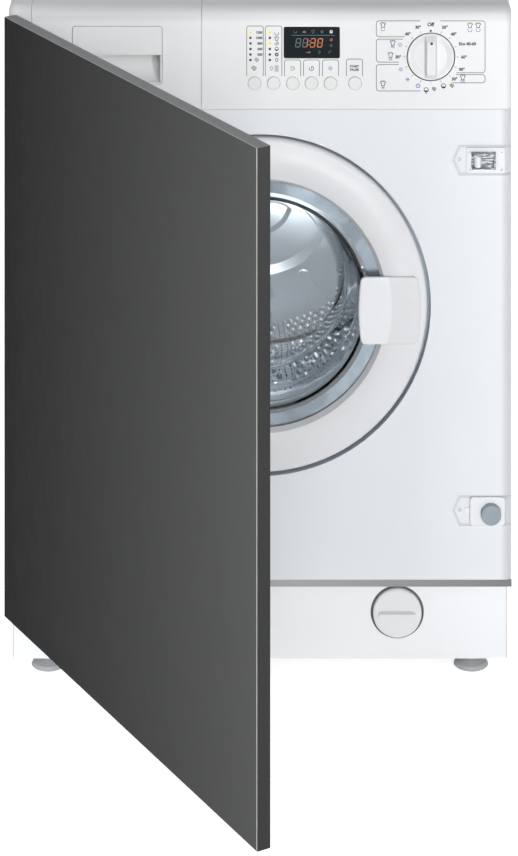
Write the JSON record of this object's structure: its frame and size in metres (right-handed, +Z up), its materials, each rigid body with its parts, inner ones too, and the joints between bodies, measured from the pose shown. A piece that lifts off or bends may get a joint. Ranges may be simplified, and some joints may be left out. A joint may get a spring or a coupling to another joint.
{
  "type": "built-in washer dryer",
  "caption": "Front-loading built-in washer dryer with a hinged furniture door standing open, a round porthole, programme knob, push buttons and detergent drawer.",
  "frame": {"origin": "on the floor, at mid-width, in the plane of the front panel's face", "axes": "+X to the right seen from the front, +Y into the machine, +Z up"},
  "size_m": [0.5982, 1.0991, 0.82],
  "materials": {
    "white_enamel": "smooth baked enamel",
    "white_plastic": "moulded, semi-gloss",
    "drawer_white": "moulded, semi-gloss",
    "grey_hem": "painted",
    "galvanised": "zinc coated",
    "stainless": "brushed and embossed",
    "drum_plastic": "pressed stainless",
    "tinted_lens": "dark tinted lens",
    "button_white": "moulded",
    "knob_white": "moulded",
    "clear_glass": "pressed bowl",
    "grey_rubber": "soft bellows",
    "pad_grey": "matt",
    "black_rubber": "ribbed belt",
    "chrome_steel": "polished",
    "bright_steel": "machined",
    "cast_aluminium": "die cast",
    "tub_plastic": "filled polypropylene",
    "grey_plastic": "moulded",
    "black_plastic": "moulded",
    "concrete": "cast",
    "motor_steel": "laminated stack",
    "fascia_white": "moulded, semi-gloss",
    "anthracite_laminate": "fine brushed laminate on board",
    "roller_white": "moulded"
  },
  "bodies": {
    "cabinet": {"side_panels": "white_enamel", "rear_panel": "galvanised", "rear_cover": "galvanised", "top_plate": "galvanised", "top_rails": "galvanised", "front_panel": "white_enamel", "base_frame": "grey_hem", "dispenser_fascia": "fascia_white", "control_fascia": "fascia_white", "display_window": "tinted_lens", "dispenser_housing": "grey_plastic", "water_inlet_valve": "black_plastic", "drain_outlet": "grey_plastic", "cable_gland": "black_plastic", "door_lock": "black_plastic", "porthole_hinge_bracket": "bright_steel", "furniture_hinge_arms": "bright_steel", "door_catch": "chrome_steel", "buffer_cover": "white_plastic", "buffer_pad": "pad_grey", "damper_cylinders": "black_plastic", "suspension_springs": "bright_steel", "drain_pump": "grey_plastic"},
    "tub": {"tub_front": "tub_plastic", "tub_rear": "tub_plastic", "counterweights": "concrete", "heater": "bright_steel", "drive_motor": "motor_steel", "tub_bearings": "bright_steel", "dryer_duct": "tub_plastic", "door_gasket": "grey_rubber", "drive_belt": "black_rubber", "damper_rods": "bright_steel"},
    "drum": {"drum_shell": "stainless", "drum_paddles": "drum_plastic", "drum_spider": "cast_aluminium", "drum_pulley": "cast_aluminium"},
    "motor_rotor": {"motor_pulley": "bright_steel"},
    "dryer_fan": {"fan_wheel": "grey_plastic"},
    "porthole": {"door_ring": "white_plastic", "door_inner_ring": "white_plastic", "door_glass": "clear_glass"},
    "handle": {"door_handle": "white_plastic"},
    "latch": {"latch_hook": "bright_steel"},
    "knob": {"programme_knob": "knob_white"},
    "key_1": {"button_1": "button_white"},
    "key_2": {"button_2": "button_white"},
    "key_3": {"button_3": "button_white"},
    "key_4": {"button_4": "button_white"},
    "key_5": {"button_5": "button_white"},
    "key_6": {"button_6": "button_white"},
    "drawer": {"detergent_drawer": "drawer_white"},
    "furniture_door": {"furniture_panel": "anthracite_laminate", "furniture_fittings": "bright_steel"},
    "roller": {"catch_roller": "roller_white"},
    "filter": {"filter_cap": "grey_plastic"},
    "leg_1": {"foot_1": "black_plastic"},
    "leg_2": {"foot_2": "black_plastic"},
    "leg_3": {"foot_3": "black_plastic"},
    "leg_4": {"foot_4": "black_plastic"}
  },
  "joints": [
    {"name": "tub_float", "type": "slide", "parent": "cabinet", "child": "tub", "axis": [0, 0, 1], "range_m": [-0.01, 0.01], "stiffness_N_per_m": 16000, "deforming": ["suspension_springs", "door_gasket"]},
    {"name": "drum_spin", "type": "hinge", "parent": "tub", "child": "drum", "pos_m": [0, 0.104, 0.4656], "axis": [0, 1, 0], "continuous": true},
    {"name": "motor_spin", "type": "hinge", "parent": "tub", "child": "motor_rotor", "pos_m": [0.118, 0.478, 0.128], "axis": [0, 1, 0], "continuous": true},
    {"name": "fan_spin", "type": "hinge", "parent": "tub", "child": "dryer_fan", "pos_m": [0.096, 0.462, 0.741], "axis": [0, 0, 1], "continuous": true},
    {"name": "porthole_swing", "type": "hinge", "parent": "cabinet", "child": "porthole", "pos_m": [-0.187, 0.0045, 0.4656], "axis": [0, 0, -1], "range_deg": [0, 60]},
    {"name": "handle_pull", "type": "hinge", "parent": "porthole", "child": "handle", "pos_m": [0.18, 0.003, 0.4618], "axis": [0, 0, 1], "range_deg": [0, 10], "stiffness_Nm_per_rad": 6, "springref_deg": -2.86},
    {"name": "latch_turn", "type": "hinge", "parent": "porthole", "child": "latch", "pos_m": [0.18, 0.0065, 0.4618], "axis": [0, 0, 1], "range_deg": [-10, 0]},
    {"name": "knob_turn", "type": "hinge", "parent": "cabinet", "child": "knob", "pos_m": [0.202, 0, 0.759], "axis": [0, -1, 0], "continuous": true},
    {"name": "press_1", "type": "slide", "parent": "cabinet", "child": "key_1", "axis": [0, 1, 0], "range_m": [0, 0.0015], "stiffness_N_per_m": 400, "springref_m": -0.0005},
    {"name": "press_2", "type": "slide", "parent": "cabinet", "child": "key_2", "axis": [0, 1, 0], "range_m": [0, 0.0015], "stiffness_N_per_m": 400, "springref_m": -0.0005},
    {"name": "press_3", "type": "slide", "parent": "cabinet", "child": "key_3", "axis": [0, 1, 0], "range_m": [0, 0.0015], "stiffness_N_per_m": 400, "springref_m": -0.0005},
    {"name": "press_4", "type": "slide", "parent": "cabinet", "child": "key_4", "axis": [0, 1, 0], "range_m": [0, 0.0015], "stiffness_N_per_m": 400, "springref_m": -0.0005},
    {"name": "press_5", "type": "slide", "parent": "cabinet", "child": "key_5", "axis": [0, 1, 0], "range_m": [0, 0.0015], "stiffness_N_per_m": 400, "springref_m": -0.0005},
    {"name": "press_6", "type": "slide", "parent": "cabinet", "child": "key_6", "axis": [0, 1, 0], "range_m": [0, 0.0015], "stiffness_N_per_m": 400, "springref_m": -0.0005},
    {"name": "drawer_slide", "type": "slide", "parent": "cabinet", "child": "drawer", "axis": [0, -1, 0], "range_m": [0, 0.105]},
    {"name": "furniture_swing", "type": "hinge", "parent": "cabinet", "child": "furniture_door", "pos_m": [-0.2865, -0.0175, 0.457], "axis": [0, 0, -1], "range_deg": [-60, 30]},
    {"name": "roller_spin", "type": "hinge", "parent": "cabinet", "child": "roller", "pos_m": [0.257, -0.0055, 0.637], "axis": [0, 0, 1], "continuous": true},
    {"name": "filter_turn", "type": "hinge", "parent": "cabinet", "child": "filter", "pos_m": [0.165, 0.06, 0.076], "axis": [0, 1, 0], "range_deg": [0, 120]},
    {"name": "foot_1_height", "type": "slide", "parent": "cabinet", "child": "leg_1", "axis": [0, 0, -1], "range_m": [0, 0.015]},
    {"name": "foot_2_height", "type": "slide", "parent": "cabinet", "child": "leg_2", "axis": [0, 0, -1], "range_m": [0, 0.015]},
    {"name": "foot_3_height", "type": "slide", "parent": "cabinet", "child": "leg_3", "axis": [0, 0, -1], "range_m": [0, 0.015]},
    {"name": "foot_4_height", "type": "slide", "parent": "cabinet", "child": "leg_4", "axis": [0, 0, -1], "range_m": [0, 0.015]}
  ],
  "couplings": [
    {"joint": "motor_spin", "follows": "drum_spin", "ratio": 14.8},
    {"joint": "latch_turn", "follows": "handle_pull", "ratio": -1}
  ]
}
